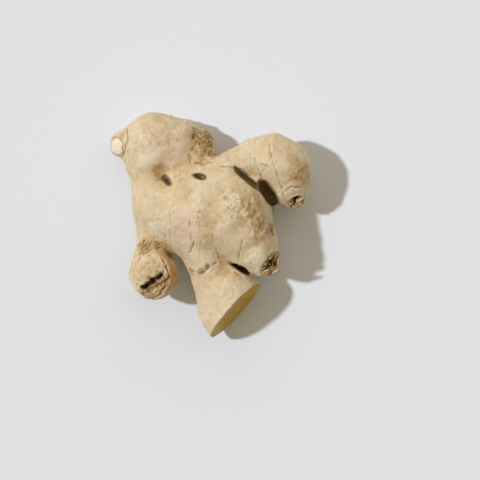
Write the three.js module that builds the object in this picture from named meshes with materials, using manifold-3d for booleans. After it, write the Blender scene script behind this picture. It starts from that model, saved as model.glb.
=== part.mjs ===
// A ginger root: the knobbly underground stem of the ginger plant, grown as one piece.
// A thick middle carries a rounded head with a small bud, a long club-shaped finger, a short side
// lobe with a dried stem scar, the stump of a limb broken off long ago, a round knob with a split
// corky top, and a finger that a knife has cut across. Ring-shaped leaf scars run round every limb,
// and small root scars dot the skin.
// Millimetres, +Z up, lying on z = 0 with the origin under the middle of its box. +Y runs from the
// cut finger to the head, which is the long way, and the long finger points to +X.

import * as THREE from 'three';
import { ImprovedNoise } from 'three/addons/math/ImprovedNoise.js';
import { triTable } from 'three/addons/objects/MarchingCubes.js';
import { mergeVertices } from 'three/addons/utils/BufferGeometryUtils.js';
import Module from 'manifold-3d';

const wasm = await Module();
wasm.setup();

// Driving dimensions. Each limb grows along stations of [x, y, z, radius], from its root outwards.
// from is the limb that it grows out of, fillet the softness of that joint, tall its height over its
// width, and rings where its leaf scars lie, as shares of its length.
const LIMBS = [
  {
    name: 'middle', tall: 1.0, rings: [0.06, 0.28, 0.48, 0.7],
    stations: [[-21.5, 6.5, 16.2, 16.8], [-7.5, 5.2, 19.4, 20], [7, 4.6, 20.4, 21], [17, -4, 25, 15]],
  },
  {
    name: 'shoulder', from: 'middle', tall: 1.0, fillet: 6, rings: [0.75],
    stations: [[7.5, 17, 25, 11.5], [11.5, 15.5, 27, 11.2], [16.8, 10.3, 28, 10.4]],
  },
  {
    name: 'stump', from: 'middle', tall: 1.0, fillet: 3, rings: [],
    stations: [[18.5, 15, 13, 11.8], [22.4, 8.4, 13.5, 9.6], [25.4, 6.2, 14, 7]],
  },
  {
    name: 'tip', from: 'middle', tall: 1.0, fillet: 5, rings: [0.22, 0.55],
    stations: [[17, -5, 23, 12.6], [22.3, -12, 24.4, 11], [26.6, -17.6, 25, 8.4]],
  },
  {
    name: 'head', from: 'middle', tall: 1.0, fillet: 8, rings: [0.3, 0.56, 0.8],
    stations: [
      [-26.5, 16, 15.5, 11.5], [-29.2, 29, 14, 12.2], [-29.8, 41.6, 13.5, 13.9],
      [-18, 41.5, 12.9, 12.6], [-6.5, 39.2, 12, 9.6],
    ],
  },
  {
    name: 'saddle', from: 'head', tall: 1.0, fillet: 7, rings: [],
    stations: [[-23, 34, 14, 11.6], [-17, 29.5, 15, 9.4], [-9, 27.5, 15.5, 8]],
  },
  {
    name: 'bud', from: 'head', tall: 1.0, fillet: 1.6, rings: [],
    stations: [[-39.5, 41.5, 14.5, 5], [-45.6, 43, 15, 4.9], [-46.2, 39.6, 14.8, 5]],
  },
  {
    name: 'finger', from: 'middle', tall: 0.95, fillet: 5, rings: [0.385, 0.57, 0.69, 0.875],
    stations: [
      [-13, 24, 16, 7.8], [-2, 22.6, 19.5, 7.8], [9, 28, 20.5, 8], [20, 33, 20.5, 9],
      [28, 33.2, 20, 12.2], [36.2, 29.5, 20, 14], [38.8, 21.5, 19.6, 10.8], [42.4, 14.3, 19, 6.2],
    ],
  },
  {
    name: 'cut finger', from: 'middle', tall: 0.96, fillet: 7, rings: [0.18, 0.42],
    stations: [
      [-3.5, -12, 21, 11.2], [-1.6, -20.5, 18.6, 9.3], [3, -27.6, 16.4, 12], [9.5, -35, 15.4, 16.3],
      [14.5, -46, 15.8, 17.6],
    ],
  },
  {
    name: 'knob', from: 'middle', tall: 1.0, fillet: 3.5, rings: [0.3, 0.5],
    stations: [[-29.6, -6, 17, 7.4], [-30, -13, 18, 7.2], [-28.4, -19.8, 19.5, 11], [-27.3, -25.4, 20, 12]],
  },
  {
    name: 'nub', from: 'knob', tall: 1.0, fillet: 2.5, rings: [],
    stations: [[-34, -20, 18.5, 5], [-37.6, -25, 18, 3]],
  },
];

const CREASE_FILLET = 1.8;

// Leaf scars and lumps of the skin.
const RING_HEIGHT = 1.25;
const RING_WIDTH = 1.7;
const RING_FADE = 2;
const LUMP_HEIGHT = 0.9;
const LUMP_LENGTH = 13;
const WRINKLE_HEIGHT = 0.4;
const WRINKLE_LENGTH = 5.5;

// Root scars: small warts, more of them low on the root where its roots grew.
const ROOT_SCARS = 64;
const ROOT_SCAR_HEIGHT = 0.95;
const ROOT_SCAR_RADIUS = 1.9;
const SEED = 7;

// Broad swellings of the skin and, where the height is negative, hollows.
const SWELLINGS = [
  { at: [-24.5, 26, 26.5], radius: 6, height: -4.2 },
  { at: [-34, 24.5, 21], radius: 6, height: -1.6 },
  { at: [28, -3.5, 31], radius: 5, height: -1.8 },
  { at: [-5.5, -45, 15], radius: 6, height: 2 },
];

// Dried stem scars: a dish with a raised rim at the end of a limb, facing the way the stem grew.
const STEM_SCARS = [
  { at: [31.6, -19.6, 29], facing: [0.8, -0.3, 0.52], radius: 6.6, depth: 3 },
  { at: [43, 12, 22.6], facing: [0.4, -0.7, 0.6], radius: 4.4, depth: 2.2 },
  { at: [1.5, 38, 11.5], facing: [0.94, -0.3, 0.15], radius: 7.8, depth: 2.4 },
  { at: [-29, -28, 31], facing: [-0.25, -0.3, 0.92], radius: 8.4, depth: 1.4 },
  { at: [31.8, 5.6, 14.5], facing: [0.95, -0.15, 0.1], radius: 4.6, depth: 2.4 },
  { at: [18, -2, 6.2], facing: [0.35, 0.1, -0.93], radius: 6, depth: 1.8 },
];
const SCAR_RIM_HEIGHT = 1.1;
const SCAR_RIM_WIDTH = 1.4;

// The split in the knob's top and the five dark gaps where limbs press together: long thin
// pockets, each with its middle, its half sizes and its turn about +Z in degrees.
const POCKETS = [
  { at: [-28.2, -27.4, 32.6], half: [5.9, 1.3, 4.6], turn: 31 },
  { at: [-21.2, 22.2, 27.5], half: [3.4, 1.6, 9], turn: -48 },
  { at: [-4.7, 24, 29], half: [4.2, 1.5, 7], turn: -19 },
  { at: [15.4, -21.2, 22], half: [6.6, 1.5, 9], turn: -31 },
  { at: [18.6, 23, 30], half: [9, 1.9, 7], turn: -42 },
  { at: [29.2, 15.6, 26], half: [8.4, 3.3, 13], turn: -57 },
];

// The knife cut: a flat face across the cut finger, leaning back a little so it shows from above.
const CUT_POINT = [13.5, -42.5, 14];
const CUT_TOWARDS = [0.72, -0.66, 0.2];
const CUT_WIDTH = 41;
const CUT_LENGTH = 60;

// The skin is drawn on a grid of this step and then smoothed on the shape itself.
const GRID_STEP = 2.48;
const SMOOTHING_ROUNDS = 8;
const LAST_ROUNDS = 3;
const LAST_EASE = 0.4;
const SKIN_COLOUR = 0xcbb083;

const noise = new ImprovedNoise();

// A limb as short tapered segments along a smooth line through its stations.
function segmentsOf(limb) {
  const places = limb.stations.map(([x, y, z]) => new THREE.Vector3(x, y, z));
  const radii = limb.stations.map(([, , , r]) => new THREE.Vector3(r, 0, 0));
  const line = new THREE.CatmullRomCurve3(places, false, 'catmullrom', 0.5);
  const girth = new THREE.CatmullRomCurve3(radii, false, 'catmullrom', 0.5);
  const steps = (places.length - 1) * 5;
  const centres = line.getPoints(steps);
  const widths = girth.getPoints(steps).map((v) => v.x);
  const segments = [];
  let run = 0;
  for (let i = 0; i < steps; i++) {
    const a = centres[i];
    const along = centres[i + 1].clone().sub(a);
    segments.push({ a, along, square: along.lengthSq(), ra: widths[i], rb: widths[i + 1], run });
    run += along.length();
  }
  return { segments, length: run };
}

const limbs = LIMBS.map((limb) => ({ ...limb, ...segmentsOf(limb) }));

// Distance from the point to a limb's skin, and how far along the limb the nearest place is.
function reach(limb, x, y, z) {
  let best = Infinity;
  let run = 0;
  for (const s of limb.segments) {
    const px = x - s.a.x;
    const py = y - s.a.y;
    const pz = z - s.a.z;
    const share = (px * s.along.x + py * s.along.y + pz * s.along.z) / s.square;
    const t = Math.min(1, Math.max(0, share));
    const dx = px - t * s.along.x;
    const dy = py - t * s.along.y;
    const dz = (pz - t * s.along.z) / limb.tall;
    const d = Math.sqrt(dx * dx + dy * dy + dz * dz) - (s.ra + t * (s.rb - s.ra));
    if (d < best) {
      best = d;
      run = s.run + t * Math.sqrt(s.square);
    }
  }
  return { d: best, run };
}

// The lesser of two distances, with a fillet of size k where they are alike.
function join(a, b, k) {
  const h = Math.max(k - Math.abs(a - b), 0) / k;
  return Math.min(a, b) - (h * h * k) / 4;
}

// Repeatable random numbers from 0 to 1.
function randomFrom(seed) {
  let state = seed;
  return () => {
    state = (Math.imul(state, 1664525) + 1013904223) >>> 0;
    return state / 4294967296;
  };
}

// How softly two limbs run into each other: by the younger limb's fillet where one grows from the
// other, and with only a small one where they press together.
function softness(a, b) {
  if (b.from === a.name) return b.fillet;
  return a.from === b.name ? a.fillet : CREASE_FILLET;
}

// The plain form, without relief: every two limbs joined. Also gives each limb's own reach.
function form(x, y, z) {
  const reaches = limbs.map((limb) => reach(limb, x, y, z));
  let total = Infinity;
  for (let i = 0; i < limbs.length; i++) {
    for (let j = 0; j < i; j++) {
      total = Math.min(total, join(reaches[i].d, reaches[j].d, softness(limbs[i], limbs[j])));
    }
  }
  return { total, reaches };
}

// Places for the root scars: rays from inside a limb, walked out to the skin.
function placeRootScars() {
  const random = randomFrom(SEED);
  const found = [];
  while (found.length < ROOT_SCARS) {
    const limb = limbs[Math.floor(random() * limbs.length)];
    const s = limb.segments[Math.floor(random() * limb.segments.length)];
    const turn = random() * Math.PI * 2;
    const rise = random() * 1.7 - 1;
    const flat = Math.sqrt(Math.max(0, 1 - rise * rise));
    const way = new THREE.Vector3(flat * Math.cos(turn), flat * Math.sin(turn), rise);
    const p = s.a.clone();
    for (let i = 0; i < 40 && form(p.x, p.y, p.z).total < -0.05; i++) {
      p.addScaledVector(way, Math.max(0.1, -form(p.x, p.y, p.z).total * 0.8));
    }
    const clear = found.every((q) => q.distanceTo(p) > 3.2 * ROOT_SCAR_RADIUS);
    if (p.z > 1.5 && clear) found.push(p);
  }
  return found;
}

const rootScars = placeRootScars();
const stemScars = STEM_SCARS.map((scar) => ({
  ...scar,
  at: new THREE.Vector3(...scar.at),
  facing: new THREE.Vector3(...scar.facing).normalize(),
}));

// How far the skin stands out from the plain form at a point: rings, lumps, warts and stem scars.
// A limb's rings fade out where another limb takes over.
function relief(x, y, z, total, reaches) {
  let out = LUMP_HEIGHT * noise.noise(x / LUMP_LENGTH, y / LUMP_LENGTH, z / LUMP_LENGTH);
  out += WRINKLE_HEIGHT * noise.noise(x / WRINKLE_LENGTH + 9, y / WRINKLE_LENGTH, z / WRINKLE_LENGTH);
  const wander = 1.4 * noise.noise(x / 9, y / 9 + 5, z / 9);
  limbs.forEach((limb, i) => {
    const { d, run } = reaches[i];
    const share = Math.exp(-(((d - total) / RING_FADE) ** 2));
    for (const ring of limb.rings) {
      const off = (run - ring * limb.length + wander) / RING_WIDTH;
      out += share * RING_HEIGHT * Math.exp(-off * off);
    }
  });
  for (const p of rootScars) {
    const square = (x - p.x) ** 2 + (y - p.y) ** 2 + (z - p.z) ** 2;
    out += ROOT_SCAR_HEIGHT * Math.exp(-square / ROOT_SCAR_RADIUS ** 2);
  }
  for (const { at, radius, height } of SWELLINGS) {
    const square = (x - at[0]) ** 2 + (y - at[1]) ** 2 + (z - at[2]) ** 2;
    out += height * Math.exp(-square / radius ** 2);
  }
  for (const scar of stemScars) {
    const away = new THREE.Vector3(x, y, z).sub(scar.at);
    const ahead = away.dot(scar.facing);
    const side = Math.sqrt(Math.max(0, away.lengthSq() - ahead * ahead));
    const near = Math.exp(-((ahead / 6) ** 2));
    const rim = (side - scar.radius) / SCAR_RIM_WIDTH;
    const dish = Math.max(0, 1 - (side / scar.radius) ** 2);
    out += near * (SCAR_RIM_HEIGHT * Math.exp(-rim * rim) - scar.depth * dish);
  }
  return out;
}

// The root's skin is where this is zero, and it is negative inside.
function depth(x, y, z) {
  const { total, reaches } = form(x, y, z);
  return Math.abs(total) > 6 ? total : total - relief(x, y, z, total, reaches);
}

function slope(p) {
  const e = 0.05;
  const g = new THREE.Vector3(
    depth(p.x + e, p.y, p.z) - depth(p.x - e, p.y, p.z),
    depth(p.x, p.y + e, p.z) - depth(p.x, p.y - e, p.z),
    depth(p.x, p.y, p.z + e) - depth(p.x, p.y, p.z - e),
  );
  return g.divideScalar(2 * e);
}

// The corners of a grid cell and the two corners that each of its edges joins, in the order that
// the marching cubes table counts them.
const CELL_CORNERS = [
  [0, 0, 0], [1, 0, 0], [1, 1, 0], [0, 1, 0], [0, 0, 1], [1, 0, 1], [1, 1, 1], [0, 1, 1],
];
const CELL_EDGES = [
  [0, 1], [1, 2], [3, 2], [0, 3], [4, 5], [5, 6], [7, 6], [4, 7], [0, 4], [1, 5], [2, 6], [3, 7],
];

// Draws the surface depth = 0 by marching cubes over a grid, with one corner for each crossed edge.
function netOf(low, high, step) {
  const n = [0, 1, 2].map((i) => Math.ceil((high[i] - low[i]) / step) + 1);
  const at = (i, j, k) => i + n[0] * (j + n[1] * k);
  const place = (i, j, k) => new THREE.Vector3(low[0] + i * step, low[1] + j * step, low[2] + k * step);
  const values = new Float32Array(n[0] * n[1] * n[2]);
  for (let k = 0; k < n[2]; k++) {
    for (let j = 0; j < n[1]; j++) {
      for (let i = 0; i < n[0]; i++) {
        const p = place(i, j, k);
        values[at(i, j, k)] = depth(p.x, p.y, p.z);
      }
    }
  }
  const corners = [];
  const cornerOf = new Map();
  const triangles = [];
  const crossing = (i, j, k, edge) => {
    const [c, d] = CELL_EDGES[edge].map((v) => CELL_CORNERS[v].map((o, axis) => o + [i, j, k][axis]));
    const key = `${at(...c)} ${at(...d)}`;
    if (!cornerOf.has(key)) {
      const vc = values[at(...c)];
      const t = vc / (vc - values[at(...d)]);
      cornerOf.set(key, corners.length);
      corners.push(place(...c).lerp(place(...d), t));
    }
    return cornerOf.get(key);
  };
  for (let k = 0; k < n[2] - 1; k++) {
    for (let j = 0; j < n[1] - 1; j++) {
      for (let i = 0; i < n[0] - 1; i++) {
        let kind = 0;
        CELL_CORNERS.forEach(([a, b, c], bit) => {
          if (values[at(i + a, j + b, k + c)] < 0) kind |= 1 << bit;
        });
        for (let t = kind * 16; triTable[t] !== -1; t += 3) {
          const [a, b, c] = [0, 1, 2].map((v) => crossing(i, j, k, triTable[t + v]));
          triangles.push(a, c, b);
        }
      }
    }
  }
  return { corners, triangles };
}

// Evens the net out: each corner moves towards the middle of its neighbours, then back to the skin.
// The last rounds only ease it, which takes the edge off the creases.
function evenOut({ corners, triangles }, rounds) {
  const neighbours = corners.map(() => new Set());
  for (let t = 0; t < triangles.length; t += 3) {
    const [a, b, c] = triangles.slice(t, t + 3);
    neighbours[a].add(b).add(c);
    neighbours[b].add(a).add(c);
    neighbours[c].add(a).add(b);
  }
  const eased = (share) => corners.map((p, i) => {
    const middle = new THREE.Vector3();
    for (const q of neighbours[i]) middle.add(corners[q]);
    return p.clone().lerp(middle.divideScalar(neighbours[i].size), share);
  });
  for (let round = 0; round < rounds; round++) {
    eased(0.5).forEach((p, i) => {
      for (let pull = 0; pull < 2; pull++) {
        const g = slope(p);
        const step = depth(p.x, p.y, p.z) / Math.max(0.3, g.lengthSq());
        p.addScaledVector(g, -Math.max(-0.8, Math.min(0.8, step)));
      }
      corners[i].copy(p);
    });
  }
  for (let round = 0; round < LAST_ROUNDS; round++) {
    eased(LAST_EASE).forEach((p, i) => corners[i].copy(p));
  }
}

function geometryOf({ corners, triangles }) {
  const geometry = new THREE.BufferGeometry().setFromPoints(corners);
  return geometry.setIndex(triangles);
}

function solidOf(geometry) {
  const plain = geometry.clone();
  plain.deleteAttribute('normal');
  plain.deleteAttribute('uv');
  const merged = mergeVertices(plain, 1e-4);
  const triVerts = new Uint32Array(merged.index.array);
  return new wasm.Manifold(
    new wasm.Mesh({ numProp: 3, vertProperties: merged.attributes.position.array, triVerts }),
  );
}

// A pocket's cutter: a long thin egg, turned about +Z.
function pocketCutter({ at, half, turn }) {
  const egg = new THREE.SphereGeometry(1, 14, 10);
  egg.rotateX(Math.PI / 2);
  egg.scale(...half);
  egg.rotateZ(THREE.MathUtils.degToRad(turn));
  egg.translate(...at);
  return solidOf(egg);
}

// The knife takes away all of the cut finger beyond the cut face, and nothing of the limbs beside it.
function knifeCutter() {
  const block = new THREE.BoxGeometry(CUT_WIDTH, CUT_LENGTH, CUT_LENGTH);
  block.translate(0, 0, CUT_LENGTH / 2);
  const towards = new THREE.Vector3(...CUT_TOWARDS).normalize();
  const across = new THREE.Vector3(-CUT_TOWARDS[1], CUT_TOWARDS[0], 0).normalize();
  const up = new THREE.Vector3().crossVectors(towards, across);
  block.applyMatrix4(new THREE.Matrix4().makeBasis(across, up, towards));
  block.translate(...CUT_POINT);
  return solidOf(block);
}

// The lowest lumps are pressed flat where they rest.
function floorCutter() {
  const side = 300;
  return solidOf(new THREE.BoxGeometry(side, side, side).translate(0, 0, -side / 2));
}

const net = netOf([-56, -66, -8], [56, 62, 50], GRID_STEP);
evenOut(net, SMOOTHING_ROUNDS);

let root = solidOf(geometryOf(net));
root = root.subtract(knifeCutter());
root = root.subtract(floorCutter());
for (const pocket of POCKETS) root = root.subtract(pocketCutter(pocket));

const made = root.getMesh();
const geometry = new THREE.BufferGeometry();
geometry.setAttribute('position', new THREE.BufferAttribute(new Float32Array(made.vertProperties), 3));
geometry.setIndex(new THREE.BufferAttribute(new Uint32Array(made.triVerts), 1));
geometry.computeBoundingBox();
const middle = geometry.boundingBox.getCenter(new THREE.Vector3());
geometry.translate(-middle.x, -middle.y, 0);
geometry.computeVertexNormals();

const skin = new THREE.MeshStandardMaterial({ color: SKIN_COLOUR, roughness: 0.62, metalness: 0 });
const gingerRoot = new THREE.Mesh(geometry, skin);
gingerRoot.name = 'ginger_root';

const group = new THREE.Group();
group.add(gingerRoot);

export default group;
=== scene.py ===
"""A fresh ginger root lying on a pale table under soft studio light, dressed over its solid.

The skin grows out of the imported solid: it is meshed finely, its facets are eased away, and then it
gets the relief that makes it ginger, from the ring-shaped leaf scars to the crumbly cork.
"""

import math

import bpy
import numpy as np
from mathutils import Matrix, Vector
from mathutils.bvhtree import BVHTree


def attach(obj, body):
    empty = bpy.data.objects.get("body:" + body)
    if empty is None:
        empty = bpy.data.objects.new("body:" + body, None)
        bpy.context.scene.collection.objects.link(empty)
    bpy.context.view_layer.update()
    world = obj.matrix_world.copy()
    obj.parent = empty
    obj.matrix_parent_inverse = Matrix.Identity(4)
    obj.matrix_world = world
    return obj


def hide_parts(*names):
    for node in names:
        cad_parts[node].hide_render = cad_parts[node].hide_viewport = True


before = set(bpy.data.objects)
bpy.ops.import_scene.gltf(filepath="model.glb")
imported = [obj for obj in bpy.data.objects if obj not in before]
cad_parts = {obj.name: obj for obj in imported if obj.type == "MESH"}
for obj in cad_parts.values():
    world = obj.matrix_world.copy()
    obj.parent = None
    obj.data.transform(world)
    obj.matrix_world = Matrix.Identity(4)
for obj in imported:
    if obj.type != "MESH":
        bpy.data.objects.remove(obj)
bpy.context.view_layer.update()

# The stage: the root lies on a pale table and is looked at from straight above, as on a kitchen
# board. A window's light falls from its left, so every limb throws a shadow to the right, and a
# soft glow from beyond its head and the warm room fill the shadows.
MM = 0.001
VIEW_MIDDLE = (14.774 * MM, -7.468 * MM)
CAMERA_HEIGHT = 900 * MM
SUBJECT_HEIGHT = 18 * MM
VIEW_WIDTH = 240 * MM
SENSOR = 36.0
SUN_FROM = Vector((-1.0, 0.17, 0.0))
SUN_ELEVATION = math.radians(50)
SUN_SPREAD = math.radians(3.6)
SUN_STRENGTH = 2.2
SUN_COLOUR = (0.96, 1.014, 1.15)
GLOW_FROM = Vector((0.3, 1.0, 0.0))
GLOW_ELEVATION = math.radians(38)
GLOW_SPREAD = math.radians(90)
GLOW_STRENGTH = 0.92
GLOW_COLOUR = (1.0, 0.985, 0.93)
ROOM_COLOUR = (1.0, 0.88, 0.62)
ROOM_STRENGTH = 0.25
TABLE_SIZE = 3.0
TABLE_COLOUR = (0.79, 0.80, 0.815, 1)

camera_data = bpy.data.cameras.new("camera")
camera_data.sensor_width = SENSOR
camera_data.lens = SENSOR * (CAMERA_HEIGHT - SUBJECT_HEIGHT) / VIEW_WIDTH
camera = bpy.data.objects.new("camera", camera_data)
camera.location = (*VIEW_MIDDLE, CAMERA_HEIGHT)
bpy.context.collection.objects.link(camera)
bpy.context.scene.camera = camera
bpy.context.scene.view_settings.view_transform = "Standard"


def far_light(name, strength, colour, spread, side, elevation):
    """A light that shines from far off on one side, at an elevation above the table."""
    light_data = bpy.data.lights.new(name, "SUN")
    light_data.energy = strength
    light_data.angle = spread
    light_data.color = colour
    light = bpy.data.objects.new(name, light_data)
    light_from = side.normalized() * math.cos(elevation)
    light_from.z = math.sin(elevation)
    light.rotation_euler = light_from.to_track_quat("Z", "Y").to_euler()
    bpy.context.collection.objects.link(light)


far_light("window_light", SUN_STRENGTH, SUN_COLOUR, SUN_SPREAD, SUN_FROM, SUN_ELEVATION)
far_light("window_glow", GLOW_STRENGTH, GLOW_COLOUR, GLOW_SPREAD, GLOW_FROM, GLOW_ELEVATION)

room = bpy.data.worlds.new("room")
room.use_nodes = True
room.node_tree.nodes["Background"].inputs["Color"].default_value = (*ROOM_COLOUR, 1)
room.node_tree.nodes["Background"].inputs["Strength"].default_value = ROOM_STRENGTH
bpy.context.scene.world = room

bpy.ops.object.select_all(action="DESELECT")
bpy.ops.mesh.primitive_plane_add(size=TABLE_SIZE)
table = bpy.context.object
table.name = "table"
table_paint = bpy.data.materials.new("pale_table")
table_paint.use_nodes = True
table_paint.node_tree.nodes["Principled BSDF"].inputs["Base Color"].default_value = TABLE_COLOUR
table_paint.node_tree.nodes["Principled BSDF"].inputs["Roughness"].default_value = 0.85
table.data.materials.append(table_paint)


# The body under the skin: the root's limbs, which grew one out of another. Each follows a line of
# (x, y, z, radius) in mm from its root to its tip, and its old leaves left rings at these shares.
BOX_MIDDLE = np.array((0.2256, 0.2184, 0.0))
LIMBS = {
    "middle": [(-21.5, 6.5, 16.2, 16.8), (-7.5, 5.2, 19.4, 20), (7, 4.6, 20.4, 21), (17, -4, 25, 15)],
    "shoulder": [(7.5, 17, 25, 11.5), (11.5, 15.5, 27, 11.2), (16.8, 10.3, 28, 10.4)],
    "stump": [(18.5, 15, 13, 11.8), (22.4, 8.4, 13.5, 9.6), (25.4, 6.2, 14, 7)],
    "tip": [(17, -5, 23, 12.6), (22.3, -12, 24.4, 11), (26.6, -17.6, 25, 8.4)],
    "head": [
        (-26.5, 16, 15.5, 11.5), (-29.2, 29, 14, 12.2), (-29.8, 41.6, 13.5, 13.9),
        (-18, 41.5, 12.9, 12.6), (-6.5, 39.2, 12, 9.6),
    ],
    "saddle": [(-23, 34, 14, 11.6), (-17, 29.5, 15, 9.4), (-9, 27.5, 15.5, 8)],
    "bud": [(-39.5, 41.5, 14.5, 5), (-45.6, 43, 15, 4.9), (-46.2, 39.6, 14.8, 5)],
    "finger": [
        (-13, 24, 16, 7.8), (-2, 22.6, 19.5, 7.8), (9, 28, 20.5, 8), (20, 33, 20.5, 9),
        (28, 33.2, 20, 12.2), (36.2, 29.5, 20, 14), (38.8, 21.5, 19.6, 10.8), (42.4, 14.3, 19, 6.2),
    ],
    "cut_finger": [
        (-3.5, -12, 21, 11.2), (-1.6, -20.5, 18.6, 9.3), (3, -27.6, 16.4, 12), (9.5, -35, 15.4, 16.3),
        (14.5, -46, 15.8, 17.6),
    ],
    "knob": [(-29.6, -6, 17, 7.4), (-30, -13, 18, 7.2), (-28.4, -19.8, 19.5, 11), (-27.3, -25.4, 20, 12)],
    "nub": [(-34, -20, 18.5, 5), (-37.6, -25, 18, 3)],
}
RINGS = {
    "middle": (0.06, 0.28, 0.48, 0.7), "tip": (0.3,),
    "finger": (0.385, 0.57, 0.69, 0.875), "cut_finger": (0.18, 0.42),
    "knob": (0.3, 0.5),
}
LINE_STEP = 1.5


def limb_line(stations):
    """A limb's line as places, radii and the run from its root, about every LINE_STEP mm."""
    stations = np.array(stations, float)
    stations[:, :3] -= BOX_MIDDLE
    gaps = np.linalg.norm(np.diff(stations[:, :3], axis=0), axis=1)
    run = np.concatenate(([0], np.cumsum(gaps)))
    steps = np.linspace(0, run[-1], int(run[-1] / LINE_STEP) + 2)
    smooth = np.stack([np.interp(steps, run, stations[:, i]) for i in range(4)], axis=1)
    return smooth[:, :3], smooth[:, 3], steps


def around_limb(places, name):
    """For each place: its distance from the limb's skin, its run, and the limb's way there."""
    line, radii, run = limb_line(LIMBS[name])
    away = np.full(len(places), np.inf)
    at_run = np.zeros(len(places))
    way = np.zeros((len(places), 3))
    for i in range(len(line) - 1):
        along = line[i + 1] - line[i]
        share = np.clip((places - line[i]) @ along / (along @ along), 0, 1)
        foot = line[i] + share[:, None] * along
        radius = radii[i] + share * (radii[i + 1] - radii[i])
        off = np.linalg.norm(places - foot, axis=1) - radius
        nearer = off < away
        away[nearer] = off[nearer]
        at_run[nearer] = (run[i] + share * (run[i + 1] - run[i]))[nearer]
        way[nearer] = along / np.linalg.norm(along)
    return away, at_run, way


def noise(places, length, seed):
    """Smooth noise from about -1 to 1 that changes over the length, in mm."""
    slopes = np.random.default_rng(seed).normal(size=(32, 32, 32, 3))
    slopes /= np.linalg.norm(slopes, axis=3, keepdims=True)
    cell = np.floor(places / length).astype(int)
    inside = places / length - cell
    ease = inside ** 3 * (inside * (inside * 6 - 15) + 10)
    total = np.zeros(len(places))
    for corner in np.ndindex(2, 2, 2):
        grid = (cell + corner) % 32
        slope = slopes[grid[:, 0], grid[:, 1], grid[:, 2]]
        share = np.prod(np.where(corner, ease, 1 - ease), axis=1)
        total += share * np.sum(slope * (inside - corner), axis=1)
    return total * 1.6


def ridges(places, length, seed):
    """Crinkled noise from 0 to 1: sharp crests between soft hollows."""
    return 1 - np.clip(np.abs(noise(places, length, seed)) * 2.2, 0, 1)


def fade(value, none, full):
    """A soft step: 0 at none, 1 at full."""
    share = np.clip((value - none) / (full - none), 0, 1)
    return share * share * (3 - 2 * share)


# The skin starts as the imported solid's own surface, meshed anew in cells of about 0.6 mm. Easing
# takes away its facets, while the face that the knife left and the resting flats stay where they are.
WELD = 0.002
FIRST_CELL = 0.6
CELL = 0.58
EASING_SHARE = 0.5
EASING_ROUNDS = 20
LAST_EASING_ROUNDS = 2
CUT_POINT = np.array((13.5, -42.5, 14.0)) - BOX_MIDDLE
CUT_TOWARDS = np.array((0.72, -0.66, 0.2)) / np.linalg.norm((0.72, -0.66, 0.2))
CUT_REACH = 22.0
HOLD_NONE = 0.3
HOLD_FULL = 1.6

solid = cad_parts["ginger_root"]
skin = bpy.data.objects.new("ginger_skin", solid.data.copy())
bpy.context.collection.objects.link(skin)


def select_only(piece):
    """Selects one piece and makes it the active one."""
    bpy.ops.object.select_all(action="DESELECT")
    piece.select_set(True)
    bpy.context.view_layer.objects.active = piece


def mesh_anew(piece, cell):
    """Gives the piece a new even mesh with cells of the size in mm."""
    select_only(piece)
    even = piece.modifiers.new("even", "REMESH")
    even.mode = "VOXEL"
    even.voxel_size = cell * MM
    bpy.ops.object.modifier_apply(modifier=even.name)


def read_places(piece):
    """The places of a piece's corners in mm."""
    found = np.empty(len(piece.data.vertices) * 3)
    piece.data.vertices.foreach_get("co", found)
    return found.reshape(-1, 3) / MM


def read_normals(piece):
    """The way that the skin faces at each of a piece's corners."""
    found = np.empty(len(piece.data.vertices) * 3)
    piece.data.vertices.foreach_get("normal", found)
    return found.reshape(-1, 3)


def write_places(piece, spots):
    """Moves a piece's corners to spots in mm."""
    piece.data.vertices.foreach_set("co", (spots * MM).ravel())
    piece.data.update()


def read_edges(piece):
    """The two corners of each of a piece's edges."""
    found = np.empty(len(piece.data.edges) * 2, int)
    piece.data.edges.foreach_get("vertices", found)
    return found.reshape(-1, 2)


def eased(values, edges, rounds):
    """Each value moves towards the mean of its neighbours' on the mesh, round after round."""
    values = values.reshape(len(values), -1)
    touching = np.bincount(edges.ravel(), minlength=len(values))[:, None]
    for _ in range(rounds):
        mean = np.zeros_like(values)
        for axis in range(values.shape[1]):
            mean[:, axis] += np.bincount(edges[:, 0], values[edges[:, 1], axis], len(values))
            mean[:, axis] += np.bincount(edges[:, 1], values[edges[:, 0], axis], len(values))
        values = values + EASING_SHARE * (mean / touching - values)
    return values


def free_to_move(spots, none, full):
    """0 on the cut face and the resting flats, growing to 1 away from them."""
    past_cut = (spots - CUT_POINT) @ CUT_TOWARDS
    by_cut = np.linalg.norm(spots - CUT_POINT, axis=1) < CUT_REACH
    off_cut = np.where(by_cut, fade(-past_cut, none, full), 1.0)
    return np.minimum(off_cut, fade(spots[:, 2], none, full))


def ease_skin(rounds):
    """Eases the skin's shape where it is free to move."""
    spots = read_places(skin)
    edges = read_edges(skin)
    free = free_to_move(spots, HOLD_NONE, HOLD_FULL)[:, None]
    for _ in range(rounds):
        spots = spots + free * (eased(spots, edges, 1) - spots)
    write_places(skin, spots)


select_only(skin)
bpy.ops.object.mode_set(mode="EDIT")
bpy.ops.mesh.select_all(action="SELECT")
bpy.ops.mesh.remove_doubles(threshold=WELD * MM)
bpy.ops.object.mode_set(mode="OBJECT")
mesh_anew(skin, FIRST_CELL)
ease_skin(EASING_ROUNDS)

# Splits, pits and gaps: dark places that the knob's burst top and the limbs left as they grew
# against each other, and star cracks in the dried scars. Ragged eggs are cut out of the skin.
POCKET_CELL = 0.4
RAGGED = 0.45
SLIT_MIDDLE = np.array((-28.2, -27.6, 30.0))
SLIT_REACH = 11.0
SLIT_RAGGED = 1.5
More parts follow.
